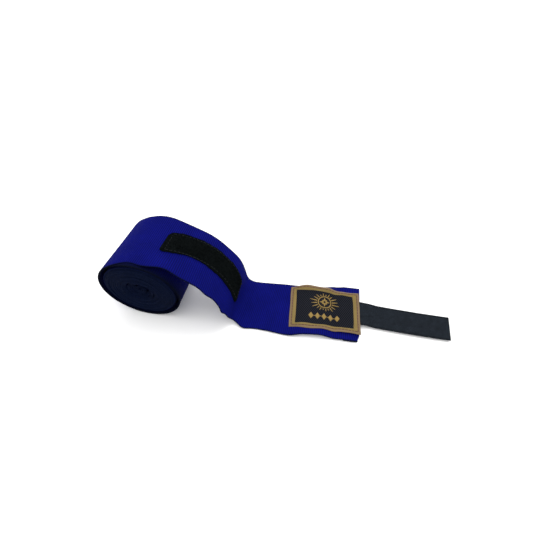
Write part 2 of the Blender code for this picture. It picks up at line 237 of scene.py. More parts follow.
def drape_point(distance, side, height):
    """A point over the drape's upper face, at a distance from the lift hinge."""
    place = drape_at(distance)
    along = unit_length(drape_at(distance + DRAPE_STEP) - drape_at(distance - DRAPE_STEP))
    early = 1.0 - smooth(distance / DRAPE_SETTLE)
    late = smooth((distance / DRAPE_LENGTH - 0.5) / 0.5)
    turn = HEADING + CREASE_SKEW * late
    sideways = np.stack([-np.sin(turn), np.cos(turn), np.zeros_like(turn)], -1)
    outward = col(along[..., 0]) * UP - col(along[..., 1]) * FORWARD
    forward = place[..., 0] + lean(side) * early
    up = place[..., 1] * (1.0 + (taper(side) - 1.0) * early)
    middle = ROLL_BASE + ROLL_SAG * col(early) + col(forward) * FORWARD + col(up) * UP
    return middle + col(DRAPE_DRIFT * late) * ACROSS + sideways * col(side) + outward * col(height)


CREASE = drape_point(np.array(DRAPE_LENGTH), np.array(0.0), np.array(0.0))
TAIL_LENGTH = TAIL_END[0] - CREASE[0]


def tail_lift(x, side):
    """How far the flat end and its label stand off the table: a hump across it and loose edges."""
    x, y = x / MM, side / MM
    profile = 2.4 + 0.9 * ease(y, -22, 42) + 1.9 * ease(y, 12, 6.5) - 4.6 * ease(y, 19.4, 5.6)
    hump = profile * ease(x, -57.5, 16) * (1.0 - ease(x - 3.5 * ease(y, -5, 20), -31, 12.5))
    second = 0.4 * bump(x, -13.5, 6) * ease(y, -16, 36) + 0.8 * bump(x, -23, 6)
    edge = ease(-y, 12, 12) * (0.6 * bump(x, -30, 7) + 0.5 * bump(x, -66, 7))
    return (hump + second + edge) * MM * ease(x, 6.0 - TAIL_LENGTH / MM, 14)


def tail_sway(x, side):
    """Sideways waviness of the flat end's two edges."""
    x, y = x / MM, side / MM
    front = ease(-y, 8, 16) * (0.4 * bump(x, -27, 12) - 1.5 * bump(x, -58, 11) - 1.1 * bump(x, -49, 7))
    return (front - 3.2 * ease(y, 17, 8) * bump(x, -39, 14)) * MM


def tail_point(x, side, height):
    """A point on the flat end; x is measured back from the band's end."""
    crease = drape_point(np.full_like(side, DRAPE_LENGTH), side, np.zeros_like(side))
    t = 1.0 + x / TAIL_LENGTH
    px = crease[..., 0] + (TAIL_END[0] - crease[..., 0]) * t
    py = crease[..., 1] + (TAIL_END[1] + side - crease[..., 1]) * smooth(1.6 * t)
    px = px - 1.6 * MM * ease(-side / MM, 18, 7) * ease(x / MM, -12, 12)
    return np.stack([px, py + tail_sway(x, side), height + tail_lift(x, side)], -1)


def half_width(along):
    """Half the band's width at a distance from the lift hinge."""
    on_drape = DRAPE_WIDTH + (NECK_WIDTH - DRAPE_WIDTH) * smooth(along / DRAPE_LENGTH - 0.2)
    on_drape = on_drape + 2.0 * MM * (1.0 - smooth(along / (36.0 * MM)))
    on_tail = NECK_WIDTH + (BAND_WIDTH - NECK_WIDTH) * ease(along, DRAPE_LENGTH, TAIL_LENGTH)
    return np.where(along < DRAPE_LENGTH, on_drape, on_tail) / 2.0


def hem_path():
    """Middle line of the flat end, (x, z), with the cut edge turned under."""
    step, centre = BAND + GAP, BAND / 2
    fold, ramp = step / 2, -HEM_LENGTH - HEM_RAMP
    bend = -fold - centre
    line = [(x, centre) for x in np.arange(-TAIL_LENGTH, ramp, 0.9 * MM)]
    for x in np.linspace(ramp, bend, 22):
        line.append((x, centre + step * ease(x, ramp, HEM_RAMP - 1.0 * MM)))
    for a in np.linspace(math.pi / 2, -math.pi / 2, 9)[1:]:
        line.append((bend + fold * math.cos(a), centre + fold + fold * math.sin(a)))
    for x in np.linspace(bend, -HEM_LENGTH, 10)[1:]:
        line.append((x, centre))
    return np.array(line)


def stack_height(x):
    """Height of the hem's upper face."""
    return BAND + 2.0 * (BAND + GAP) * ease(x, -HEM_LENGTH - HEM_RAMP - 2.0 * MM, HEM_RAMP)


LABEL_TURN = math.radians(-1.7)
LABEL_SKEW = -0.07  # how far its ends lean
LABEL_DRAWN = 0.978  # the label is drawn in by its stitching


def label_point(x, side, height):
    """A point on the label, in the label's own directions from the middle of its sewn end."""
    cx = (x + LABEL_LENGTH / 2) * LABEL_DRAWN + side * LABEL_SKEW
    lx = cx * math.cos(LABEL_TURN) - side * math.sin(LABEL_TURN) - LABEL_LENGTH / 2 + 0.3 * MM
    ly = cx * math.sin(LABEL_TURN) + side * math.cos(LABEL_TURN) + LABEL_OFFSET
    a, s = x / MM, side / MM
    wave = 0.35 * np.sin((a + 6.0) / 9.5) * s / 18.0
    wave = wave + 0.5 * ease(s, 13, 5) * ease(a, -57, 9) * (1.0 - ease(a, -32, 13))
    z = stack_height(lx) + tail_lift(lx, ly) + height
    return np.stack([TAIL_END[0] + lx, TAIL_END[1] + ly + wave * MM, z], -1)


# ---------------- meshes
def link(name, data):
    """A new object in the scene."""
    made = bpy.data.objects.new(name, data)
    bpy.context.scene.collection.objects.link(made)
    return made


def make_object(name, points, faces, uvs, material, edge=None):
    """A smooth object; edge says how far each point takes the darker edge colour, which is partly the
    selvedge's own navy and partly painted shade.
    """
    mesh = bpy.data.meshes.new(name)
    mesh.from_pydata(np.asarray(points).reshape(-1, 3).tolist(), [], faces)
    layer = mesh.uv_layers.new(name="weave")
    loops = np.empty(len(mesh.loops), np.int32)
    mesh.loops.foreach_get("vertex_index", loops)
    layer.data.foreach_set("uv", np.asarray(uvs, np.float32).reshape(-1, 2)[loops].ravel())
    if edge is not None:
        made = mesh.attributes.new("edge", "FLOAT", "POINT")
        made.data.foreach_set("value", np.asarray(edge, np.float32).ravel())
    mesh.materials.append(material)
    mesh.validate()
    mesh.update()
    mesh.shade_smooth()
    mesh.set_sharp_from_angle(angle=math.radians(62))
    return link(name, mesh)


def lattice(x0, x1, nx, y0, y1, ny):
    return np.meshgrid(np.linspace(x0, x1, nx), np.linspace(y0, y1, ny), indexing="ij")


def grid_normals(grid):
    return unit_length(np.cross(np.gradient(grid, axis=0), np.gradient(grid, axis=1)))


def ring_quads(rows, count):
    """Quads round a run of closed rings of points."""
    i, j = np.meshgrid(np.arange(rows - 1) * count, np.arange(count), indexing="ij")
    k = (j + 1) % count
    return np.stack([i + j, i + count + j, i + count + k, i + k], -1).reshape(-1, 4)


def closed_faces(rows, count, base=0):
    """Quads round a run of closed rings of points, and its two ends."""
    last = base + (rows - 1) * count
    ends = [list(range(base, base + count)), list(range(last + count - 1, last - 1, -1))]
    return (ring_quads(rows, count) + base).tolist() + ends


def ribbon(name, grid, half, along, side, material, selvedge=0, normals=None):
    """A closed strip of cloth with rounded edges: grid is its middle surface, half its half thickness.

    selvedge is the number of columns over which the edge colour fades out; that colour is partly the
    selvedge's own navy and partly painted shade.
    """
    rows, cols = grid.shape[:2]
    normals = grid_normals(grid) if normals is None else normals
    half = np.broadcast_to(np.asarray(half, float), (rows,))[:, None, None]
    across = unit_length(grid[:, -1] - grid[:, 0])
    h = half[:, 0]
    # share of the edge colour at each point: the band's own dark selvedge, also used as painted shade on the
    # roll's end face
    selvedge_and_shade_share, ones = np.zeros((rows, cols)), np.ones((rows, 3))
    selvedge_and_shade_share[:, 0] = selvedge_and_shade_share[:, -1] = 1.0 if selvedge else 0.6
    if selvedge:
        selvedge_and_shade_share[:, selvedge] = selvedge_and_shade_share[:, -1 - selvedge] = 0.5
    turn = (math.radians(50), 0.0, math.radians(-50))
    right = [grid[:, -1] + across * h * math.cos(a) + normals[:, -1] * h * math.sin(a) for a in turn]
    left = [grid[:, 0] - across * h * math.cos(a) - normals[:, 0] * h * math.sin(a) for a in turn]
    lower = (grid - normals * half)[:, ::-1]
    ring = np.concatenate([grid + normals * half, np.stack(right, 1), lower, np.stack(left, 1)], 1)
    round_right, round_left = h * np.array([0.3, 0.8, 1.3]), h * np.array([1.3, 0.8, 0.3])
    v = np.concatenate([side, side[:, -1:] + round_right, side[:, ::-1], side[:, :1] - round_left], 1)
    edge = np.concatenate([selvedge_and_shade_share, ones, selvedge_and_shade_share[:, ::-1], ones], 1)
    count = ring.shape[1]
    u = np.repeat(np.asarray(along)[:, None], count, 1)
    return make_object(name, ring, closed_faces(rows, count), np.stack([u, v], -1), material, edge)


def tubes(name, paths, radius, sides, material):
    """Many small threads in one mesh; paths is (threads, points, 3)."""
    paths = np.asarray(paths, float)
    n, p = paths.shape[:2]
    along = unit_length(np.gradient(paths, axis=1))
    ref = np.where(np.abs(along[..., 2:]) > 0.9, np.array([1.0, 0.0, 0.0]), UP)
    a = unit_length(np.cross(along, ref))
    b = np.cross(along, a)
    angle = np.linspace(0, 2 * math.pi, sides, endpoint=False)
    around = a[:, :, None] * np.cos(angle)[:, None] + b[:, :, None] * np.sin(angle)[:, None]
    ring = paths[:, :, None] + around * radius
    size = p * sides
    starts = range(0, n * size, size)
    quads = ring_quads(p, sides)[:, [0, 3, 2, 1]] + np.array(starts)[:, None, None]
    faces = quads.reshape(-1, 4).tolist()
    for start in starts:
        faces.append(list(range(start + sides - 1, start - 1, -1)))
        faces.append(list(range(start + size - sides, start + size)))
    reach = np.cumsum(np.linalg.norm(np.diff(paths, axis=1, prepend=paths[:, :1]), axis=-1), axis=1)
    u = np.repeat(reach[:, :, None], sides, 2)
    v = np.broadcast_to(angle / (2 * math.pi) * MM, u.shape)
    return make_object(name, ring, faces, np.stack([u, v], -1), material)


# ---------------- materials
class Nodes:
    """A small helper to write node trees as expressions."""

    def __init__(self, name):
        self.material = bpy.data.materials.new(name)
        self.material.use_nodes = True
        self.tree = self.material.node_tree
        self.shader = self.tree.nodes["Principled BSDF"]

    def add(self, kind, **values):
        node = self.tree.nodes.new(kind)
        for key, value in values.items():
            setattr(node, key, value)
        return node

    def put(self, socket, value):
        if isinstance(value, bpy.types.NodeSocket):
            self.tree.links.new(value, socket)
        else:
            socket.default_value = value

    def math(self, operation, a, b=0.0, clamp=False):
        node = self.add("ShaderNodeMath", operation=operation, use_clamp=clamp)
        self.put(node.inputs[0], a)
        self.put(node.inputs[1], b)
        return node.outputs[0]

    def plus(self, a, b, clamp=False):
        return self.math("ADD", a, b, clamp)

    def minus(self, a, b):
        return self.math("SUBTRACT", a, b)

    def times(self, a, b, clamp=False):
        return self.math("MULTIPLY", a, b, clamp)

    def mix(self, share, a, b):
        node = self.add("ShaderNodeMix", data_type="RGBA")
        self.put(node.inputs["Factor"], share)
        self.put(node.inputs[6], a)
        self.put(node.inputs[7], b)
        return node.outputs[2]

    def uv(self):
        """Distance along the cloth and across it, and the two as a vector."""
        node = self.add("ShaderNodeUVMap", uv_map="weave")
        split = self.add("ShaderNodeSeparateXYZ")
        self.put(split.inputs[0], node.outputs[0])
        return split.outputs[0], split.outputs[1], node.outputs[0]

    def place(self):
        return self.add("ShaderNodeTexCoord").outputs["Object"]

    def noise(self, vector, scale, detail=3.0, roughness=0.55):
        node = self.add("ShaderNodeTexNoise")
        self.put(node.inputs["Vector"], vector)
        node.inputs["Scale"].default_value = scale
        node.inputs["Detail"].default_value = detail
        node.inputs["Roughness"].default_value = roughness
        return node.outputs["Fac"]

    def half_wave(self, value, pitch):
        """A sine from 0 to 1."""
        return self.plus(self.times(self.math("SINE", self.times(value, 2.0 * math.pi / pitch)), 0.5), 0.5)

    def attribute(self, name):
        return self.add("ShaderNodeAttribute", attribute_name=name).outputs["Fac"]

    def surface(self, colour, grain, spread, rough, specular):
        """Colour, roughness from rough to rough + spread by the grain, and specular level."""
        self.put(self.shader.inputs["Base Color"], colour)
        self.put(self.shader.inputs["Roughness"], self.plus(self.times(grain, spread), rough))
        self.shader.inputs["Specular IOR Level"].default_value = specular

    def bump(self, height, distance, strength=0.8):
        node = self.add("ShaderNodeBump")
        node.inputs["Strength"].default_value = strength
        node.inputs["Distance"].default_value = distance
        self.put(node.inputs["Height"], height)
        self.put(self.shader.inputs["Normal"], node.outputs[0])


def srgb(r, g, b, share=1.0):
    """A colour given on the 0-255 scale, its light multiplied by share."""

    def linear(c):
        c /= 255.0
        return (c / 12.92 if c <= 0.04045 else ((c + 0.055) / 1.055) ** 2.4) * share

    return (linear(r), linear(g), linear(b), 1.0)


RIB = 1.45 * MM  # pitch of the band's crosswise ribs
YARN = 0.85 * MM  # pitch of its lengthwise yarns
# from here out along the band the edges are painted near black as shade: the outer turns that sit back round
# the disc, and the free run's edges by the same mask
OUTER_FROM = 1.02  # metres of band wound outside the disc's last turn
# from here out along the band the edges take a painted highlight, a lighter navy ring on the disc's outer
# turns
DISC_FROM = 1.3  # metres of band wound outside the core


def band_material():
    n = Nodes("band_weave_look")
    u, v, uv = n.uv()
    place = n.place()
    wobble = n.times(n.minus(n.noise(uv, 220.0, 2.0), 0.5), 0.4 * MM)
    rib = n.half_wave(n.plus(u, wobble), RIB)
    knit = n.times(n.half_wave(v, YARN), n.half_wave(n.plus(n.times(u, 2.0), v), 2.0 * YARN))
    cloud = n.noise(place, 55.0, 4.0)
    fine = n.noise(place, 900.0, 3.0, 0.6)
    height = n.plus(n.times(rib, 0.65), n.times(knit, 0.35))
    shade = n.plus(n.times(rib, 0.64), n.times(knit, 0.12))
    shade = n.plus(shade, n.times(n.minus(cloud, 0.5), 0.5))
    shade = n.plus(shade, n.times(n.minus(fine, 0.5), 0.4), clamp=True)
    face = n.mix(shade, srgb(3, 6, 60), srgb(12, 16, 114))
    # edge colour: dark navy with noise, partly the selvedge's own colour and partly painted shade for the
    # roll's end face, which faces away from the light
    edge_dye_and_painted_light = n.mix(n.noise(place, 420.0, 3.0), srgb(6, 12, 30), srgb(6, 12, 30, 2.0))
    # painted highlight: mask for a lighter ring on the edges of the disc's outermost turns
    disc = n.times(n.plus(u, DISC_FROM), 6.0, clamp=True)
    # painted shade mask for the edges of the outer turns
    outer = n.times(n.plus(u, OUTER_FROM), 20.0, clamp=True)
    # painted highlight mixed into the edge colour
    edge_dye_and_painted_light = n.mix(n.times(disc, 0.55), edge_dye_and_painted_light, srgb(13, 21, 56))
    # painted shade mixed into the edge colour
    edge_dye_and_painted_light = n.mix(outer, edge_dye_and_painted_light, srgb(6, 12, 30, 0.55))
    n.surface(n.mix(n.attribute("edge"), face, edge_dye_and_painted_light), fine, 0.15, 0.75, 0.03)
    n.bump(n.plus(height, n.times(fine, 0.5)), 0.2 * MM)
    return n.material


def pile_material():
    n = Nodes("loop_pile_look")
    place = n.place()
    tufts = n.noise(place, 700.0, 4.0, 0.7)
    share = n.times(n.plus(tufts, n.noise(place, 90.0, 3.0)), 0.5)
    n.surface(n.mix(share, srgb(1, 2, 3), srgb(15, 19, 19)), tufts, 0.2, 0.78, 0.02)
    n.bump(tufts, 0.6 * MM, 1.0)
    return n.material


def thread_material(name, light, dark):
    n = Nodes(name)
    u, v = n.uv()[:2]
    strand = n.half_wave(n.plus(u, n.times(v, 0.6)), 0.6 * MM)
    fine = n.noise(n.place(), 1500.0, 2.0)
    n.surface(n.mix(n.times(n.plus(strand, fine), 0.5), dark, light), fine, 0.2, 0.55, 0.2)
    n.bump(strand, 0.06 * MM)
    return n.material


def panel_material():
    n = Nodes("label_weave_look")
    u, v = n.uv()[:2]
    place = n.place()
    rib = n.half_wave(n.minus(u, n.times(v, 0.62)), 1.5 * MM)
    weft = n.half_wave(v, 0.42 * MM)
    fine = n.noise(place, 1200.0, 3.0)
    cloud = n.noise(place, 70.0, 2.0)
    share = n.times(n.times(rib, rib), 0.8)
    share = n.plus(share, n.times(n.plus(fine, cloud), 0.05), clamp=True)
    n.surface(n.mix(share, srgb(0, 0, 2), srgb(43, 45, 52)), fine, 0.2, 0.5, 0.01)
    n.bump(n.plus(n.times(rib, 0.7), n.times(weft, 0.3)), 0.12 * MM)
    return n.material


def gold_material(name, light, dark, pitch, across=False, outer=None):
    """Satin stitches side by side, lying along u if across; outer colours the tape's outer part."""
    n = Nodes(name)
    u, v, uv = n.uv()
    place = n.place()
    jitter = n.times(n.minus(n.noise(uv, 500.0, 2.0), 0.5), 0.6 * MM)
    strand = n.half_wave(n.plus(v if across else u, jitter), pitch)
    fine = n.noise(place, 1100.0, 3.0)
    cloud = n.noise(place, 120.0, 3.0)
    face = n.mix(n.plus(n.times(strand, 0.4), n.times(n.plus(fine, cloud), 0.3)), dark, light)
    if outer:
        margin = n.math("LESS_THAN", n.plus(v, n.times(jitter, 0.3)), 0.42 * BORDER_SIDE)
        face = n.mix(n.times(margin, 0.55), face, outer)
    n.surface(face, fine, 0.2, 0.5, 0.1)
    n.bump(n.plus(strand, n.times(fine, 0.4)), 0.12 * MM, 0.9)
    return n.material


def strap_material():
    n = Nodes("strap_tape_look")
    u, v = n.uv()[:2]
    place = n.place()
    check = n.math("ABSOLUTE", n.minus(n.half_wave(u, 0.62 * MM), n.half_wave(v, 0.8 * MM)))
    fine = n.noise(place, 1000.0, 3.0)
    cloud = n.noise(place, 260.0, 4.0, 0.75)
    side = n.math("ABSOLUTE", v)
    selvedge = n.math("GREATER_THAN", side, STRAP_WIDTH / 2 - 1.1 * MM)
    line = n.math("LESS_THAN", n.math("ABSOLUTE", n.minus(side, STRAP_WIDTH / 2 - 1.2 * MM)), 0.25 * MM)
    share = n.plus(n.times(check, 0.3), n.times(n.plus(fine, cloud), 0.35))
    share = n.plus(n.times(n.minus(share, 0.5), 2.2), 0.5, clamp=True)
    face = n.mix(share, srgb(2, 4, 7), srgb(36, 42, 50))
    face = n.mix(n.times(selvedge, 0.35), face, srgb(14, 17, 21))
    face = n.mix(n.times(line, 0.5), face, srgb(6, 8, 11))
    n.surface(face, fine, 0.25, 0.55, 0.05)
    n.bump(n.minus(n.plus(check, n.times(fine, 0.4)), n.times(line, 0.8)), 0.14 * MM)
    return n.material


def nylon_material():
    n = Nodes("hook_nylon_look")
    fine = n.noise(n.place(), 800.0, 2.0)
    n.surface(n.mix(fine, srgb(8, 9, 11), srgb(24, 26, 30)), fine, 0.2, 0.35, 0.4)
    return n.material


band_look = band_material()
pile_look = pile_material()
dark_thread = thread_material("dark_thread_look", srgb(27, 31, 33), srgb(10, 12, 13))
panel_look = panel_material()
border_look = gold_material(
    "gold_tape_look", srgb(140, 120, 72), srgb(80, 66, 36), 0.6 * MM, outer=srgb(112, 92, 78)
)
gold_look = gold_material("gold_thread_look", srgb(160, 134, 78), srgb(88, 70, 34), 0.5 * MM, across=True)
plum_thread = thread_material("plum_thread_look", srgb(98, 58, 60), srgb(52, 30, 34))
strap_look = strap_material()
nylon_look = nylon_material()

# ---------------- the band's one surface, cut into pieces
COLS = 45  # points across the free run
ROW = RIB / 6  # spacing of its rows
RIB_DEPTH = 0.045 * MM


def build_wound():
    last = WIND_TURNS - RUN_TURN
    turns = np.linspace(0.0, last, int(last * WIND_STEPS) + 1)
    cols = np.linspace(-1.0, 1.0, 9)
    side = (wind_half(turns) - WIND_BAND / 2)[:, None] * cols + wind_shift(turns)[:, None]
    grid = wind_point(np.repeat(turns[:, None], len(cols), 1), side, -WIND_BAND / 2)
    along = lengths(grid[:, 4])
    along += run_along[0] - along[-1]
    return ribbon("wound_band", grid, WIND_BAND / 2, along, side, band_look, selvedge=1)


def run_waves(along, side):
    """Small looseness of the cloth on the drape, outwards."""
    a, s = along / MM, side / MM
    back = bump(a, 2, 14) - 0.4 * bump(a, 28, 8) + 0.3 * bump(a, 46, 9) + 1.2 * bump(a, 70, 9)
    front = 1.7 * bump(a, 19, 10) + 0.5 * bump(a, 56, 10)
    on = 1.0 - ease(a, DRAPE_LENGTH / MM - 14.0, 14)
    return (ease(s, 2, 20) * back + ease(-s, 8, 14) * front) * on * MM


def run_sway(along, side):
    """Both edges sit back over the roll; the front one bulges on the arch and is drawn in at the landing."""
    a, s, end = along / MM, side / MM, DRAPE_LENGTH / MM
    set_back = 1.6 * (1.0 - ease(a, -6, 12)) + 1.8 * bump(a, 19, 9)
    bulge = 1.6 * (bump(a, 68, 12) + bump(a, 53, 5)) + 1.9 * bump(a, 73, 3.5)
    landing = 3.7 * bump(a, end - 5.5, 6.5) - 2.4 * bump(a, end + 2.6, 3)
    front = set_back * ease(a, -24, 22) - bulge + landing
    back = 1.6 * (1.0 - ease(a, 0, 20)) * ease(a, -46, 24)
    return (ease(-s, 5, 18) * front + ease(s, 5, 18) * back) * MM


def landing_lift(along, side):
    """The front edge stands off the table where it is drawn in."""
    return 1.4 * MM * ease(-side / MM, 10, 12) * bump((along - DRAPE_LENGTH) / MM, -4, 6.5)


def build_run():
    """The middle surface of the band from beneath the roll, over its top, to the turned hem."""
    unit = np.linspace(-1.0, 1.0, COLS)
    rows, sides = [], []

    def add_row(points, reach, side, lift):
        rows.append(points + col(run_sway(reach, side)) * ACROSS + col(lift(reach, side)) * UP)
        sides.append(side)

    on_roll = np.linspace(WIND_TURNS - RUN_TURN, WIND_TURNS, 100)[:-1]
    for turn in on_roll:
        side = unit * (wind_half(turn) - BAND / 2) + wind_shift(turn)
        thick = WIND_BAND + (BAND - WIND_BAND) * ease(turn, on_roll[0], RUN_TURN)
        points = wind_point(np.full_like(side, turn), side, -thick / 2)
        add_row(points, (turn - WIND_TURNS) * 2.0 * math.pi * ROLL_R, side, run_waves)
    for s in np.linspace(0.0, DRAPE_LENGTH, 124)[:-1]:
        side = unit * (half_width(s) - BAND / 2) + wind_shift(WIND_TURNS) * (1.0 - smooth(s / (30.0 * MM)))
        points = drape_point(np.full_like(side, s), side, -BAND / 2 + run_waves(s, side))
        add_row(points, s, side, landing_lift)
    for x, z in hem_path():
        reach = x + TAIL_LENGTH + DRAPE_LENGTH
        side = unit * (half_width(reach) - BAND / 2)
        add_row(tail_point(np.full_like(side, x), side, z), reach, side, landing_lift)
    grid, sides = np.array(rows), np.array(sides)
    # ease the kinks where the stretches join
    keep = np.zeros(len(grid) - 2)
    join = len(on_roll)
    keep[join - 16 : join + 16] = keep[join + 104 : join + 144] = 1.0
    for _ in range(14):
        inner = grid[1:-1]
        grid[1:-1] = inner + 0.25 * (grid[:-2] + grid[2:] - 2 * inner) * keep[:, None, None]
    reach = lengths(grid[:, COLS // 2])
    even = np.linspace(0.0, reach[-1], int(reach[-1] / ROW) + 1)
    flat = np.concatenate([grid, sides[..., None]], -1).reshape(len(grid), -1)
    flat = np.stack([np.interp(even, reach, column) for column in flat.T], -1).reshape(len(even), COLS, 4)
    return flat[..., :3], flat[..., 3], even - reach[join]


run_grid, run_side, run_along = build_run()
run_normals = grid_normals(run_grid)
pressed = (BAND - WIND_BAND) / 2 * (1.0 - ease(run_along, run_along[0], 60.0 * MM))
run_half = BAND / 2 - 0.05 * MM - pressed + RIB_DEPTH * np.sin(2.0 * math.pi * run_along / RIB)


def row_at(reach):
    """The row on the crest of the rib nearest to a distance from the lift hinge."""
    return int(np.argmin(np.abs(run_along - (math.floor(reach / RIB) + 0.25) * RIB)))


cut_a = row_at(56.0 * MM)
cut_b = row_at(DRAPE_LENGTH + 27.0 * MM)
run_pieces = {}
for name, first, last in (
    ("band_shoulder", 0, cut_a),
    ("band_landing", cut_a, cut_b),
    ("band_end", cut_b, len(run_grid) - 1),
):
    part = slice(first, last + 1)
    arrays = (a[part] for a in (run_grid, run_half, run_along, run_side))
    run_pieces[name] = ribbon(name, *arrays, band_look, normals=run_normals[part])
wound = build_wound()

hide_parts("band_roll")
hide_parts("band_drape")
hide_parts("band_drape")
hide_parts("band_tail")
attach(wound, "roll")
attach(run_pieces["band_end"], "tail")
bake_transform(run_pieces["band_shoulder"])
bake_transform(run_pieces["band_landing"])

# ---------------- thumb loop in the core
THUMB_HALF_GAP = 0.6 * MM
THUMB_HALF = 0.28 * MM  # half its thickness
THUMB_WIDTH = 46.0 * MM
THUMB_SIDE = -2.6 * MM
THUMB_INNER, THUMB_SPREAD, THUMB_TURNS = 1.7 * MM, 3.1 * MM, 1.6  # its spiral
THUMB_AT = 4.3  # metres of band between the loop and the lift hinge


def thumb_line():
    """Outline of the flattened loop on the roll's round end: out along a spiral and back."""
    t = np.linspace(0.0, 1.0, 90)
    radius, angle = THUMB_INNER + THUMB_SPREAD * t, -2.0 * math.pi * THUMB_TURNS * t
    mid = np.stack([radius * np.cos(angle), radius * np.sin(angle)], -1)
    along = unit_length(np.gradient(mid, axis=0)) * THUMB_HALF_GAP
    out = np.stack([-along[:, 1], along[:, 0]], -1)
    turn = col(np.linspace(0.0, math.pi, 9)[1:-1])
    cap_end = mid[-1] + out[-1] * np.cos(turn) + along[-1] * np.sin(turn)
    cap_start = mid[0] - out[0] * np.cos(turn) - along[0] * np.sin(turn)
    return np.concatenate([mid + out, cap_end, (mid - out)[::-1], cap_start, (mid + out)[:1]])


def build_thumb():
    line = thumb_line()
    across = np.linspace(-1, 1, 7) * (THUMB_WIDTH / 2 - 0.3 * MM) + THUMB_SIDE
    side = np.repeat(across[None], len(line), 0)
    grid = roll_point(line[:, :1], line[:, 1:], side)
    return ribbon("thumb_loop_tape", grid, THUMB_HALF, lengths(line) - THUMB_AT, side, band_look, selvedge=1)


thumb = build_thumb()
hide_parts("thumb_loop")
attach(thumb, "roll")


# ---------------- loop strip
def loop_point(distance, side, height):
    """On the drape's upper face; side is measured from the strip's own middle."""
    t = (distance - LOOP_START) / LOOP_LENGTH
    lateral = LOOP_OFFSET + LOOP_BOW * 4.0 * t * (1.0 - t) + side
    return drape_point(distance, lateral, height + run_waves(distance, lateral))


def loop_outline(unit_d, unit_s):
    """Distance and side on the strip for a square grid: corners rounded and edges slightly uneven."""
    half_d, half_s = LOOP_LENGTH / 2, LOOP_WIDTH / 2 - 0.15 * MM
    d, s = unit_d * half_d, unit_s * half_s
    over_d = np.maximum(np.abs(d) - (half_d - LOOP_CORNER), 0.0)
    over_s = np.maximum(np.abs(s) - (half_s - LOOP_CORNER), 0.0)
    pull = 1.0 - np.maximum(over_d, over_s) / np.maximum(np.hypot(over_d, over_s), 1e-9)
    d = np.sign(d) * (np.abs(d) - over_d * pull)
    s = np.sign(s) * (np.abs(s) - over_s * pull)
    uneven = 0.16 * np.sin(d / (2.3 * MM)) + 0.12 * np.sin(d / (0.9 * MM) + 1.0)
    start = ease(-d, half_d - 9.0 * MM, 9.0 * MM)
    end = ease(d, half_d - 12.0 * MM, 12.0 * MM)
    d = d - (start * (1.3 - 0.4 * unit_s) + end * 1.7 * unit_s) * MM
    far_side = 0.9 * smooth(unit_s) * (1.0 - ease(d, -half_d, 34.0 * MM))
    near_side = 1.8 * smooth(-unit_s) * bump(d, -14.0 * MM, 15.0 * MM)
    s = s + (uneven * unit_s**5 + far_side + near_side - start * unit_s * 0.4) * MM
    return LOOP_START + LOOP_LENGTH / 2 - 0.4 * MM + d, s


LOOP_INSET = 1.9 * MM  # of its stitching


def loop_height(unit_d, unit_s):
    """How full the pile is, 0 at its rim, and its height in mm, pressed down by the stitching."""
    rim = np.minimum((1.0 - np.abs(unit_s)) * LOOP_WIDTH / 2, (1.0 - np.abs(unit_d)) * LOOP_LENGTH / 2)
    crown = smooth(rim / (1.6 * MM))
    return crown, 0.8 * crown - 0.35 * bump(rim, LOOP_INSET, 0.45 * MM)


def build_loop():
    n_along, n_across = 201, 57
    dd, uu = lattice(-1, 1, n_along, -1, 1, n_across)
    distance, side = loop_outline(dd, uu)
    crown, height = loop_height(dd, uu)
    rough = RNG.normal(0.0, 0.12, dd.shape) * crown
    rough = (rough + np.roll(rough, 1, 0) + np.roll(rough, 1, 1) + np.roll(rough, -1, 0)) / 2.4
    upper = loop_point(distance, side, GAP + (0.55 + height + rough) * MM)
    lower = loop_point(distance, side, 0.06 * MM)
    points = np.concatenate([upper.reshape(-1, 3), lower.reshape(-1, 3)])
    ids = np.arange(n_along * n_across).reshape(n_along, n_across)
    q = np.stack([ids[:-1, :-1], ids[1:, :-1], ids[1:, 1:], ids[:-1, 1:]], -1).reshape(-1, 4)
    faces = q.tolist() + (q[:, ::-1] + ids.size).tolist()
    rim = [*ids[:, 0], *ids[-1, 1:], *ids[-2::-1, -1], *ids[0, -2:0:-1]]
    for a, b in zip(rim, rim[1:] + rim[:1]):
        faces.append([int(v) for v in (b, a, a + ids.size, b + ids.size)])
    uvs = np.stack([distance, side], -1).reshape(-1, 2)
    return make_object("loop_strip_pile", points, faces, np.concatenate([uvs, uvs]), pile_look)


def build_fuzz():
    """Loose loops of the pile, lying every way."""
    count = 6500
    ud, us = RNG.uniform(-1, 1, count), RNG.uniform(-1, 1, count)
    heading = RNG.uniform(0, 2 * math.pi, count)
    reach = col(RNG.uniform(0.25, 0.75, count) * MM)
    tall = col(RNG.uniform(0.15, 0.5, count) * MM)
    distance, side = loop_outline(ud, us)
    base = GAP + (0.5 + loop_height(ud, us)[1]) * MM
    t = np.linspace(0, 1, 5)
    dd = col(distance) + col(np.cos(heading)) * reach * (t - 0.5)
    ss = col(side) + col(np.sin(heading)) * reach * (t - 0.5)
    paths = loop_point(dd, ss, col(base) + tall * np.sin(t * math.pi))
    return tubes("loop_strip_fuzz", paths, 0.05 * MM, 3, pile_look)


def stitch_paths(place, corners, length, gap, lift, dip):
    """Stitches round a closed four-cornered path in a surface's own directions."""
    paths = []
    for (x0, y0), (x1, y1) in zip(corners, corners[1:] + corners[:1]):
        run = math.hypot(x1 - x0, y1 - y0)
        number = max(1, round(run / (length + gap)))
        pitch = run / number
        for k in range(number):
            t = (k * pitch + gap / 2 + np.linspace(0, 1, 7) * (pitch - gap)) / run
            h = lift - dip * (1.0 - np.sin(np.linspace(0, math.pi, 7)) ** 0.5)
            paths.append(place(x0 + (x1 - x0) * t, y0 + (y1 - y0) * t, h))
    return np.array(paths)


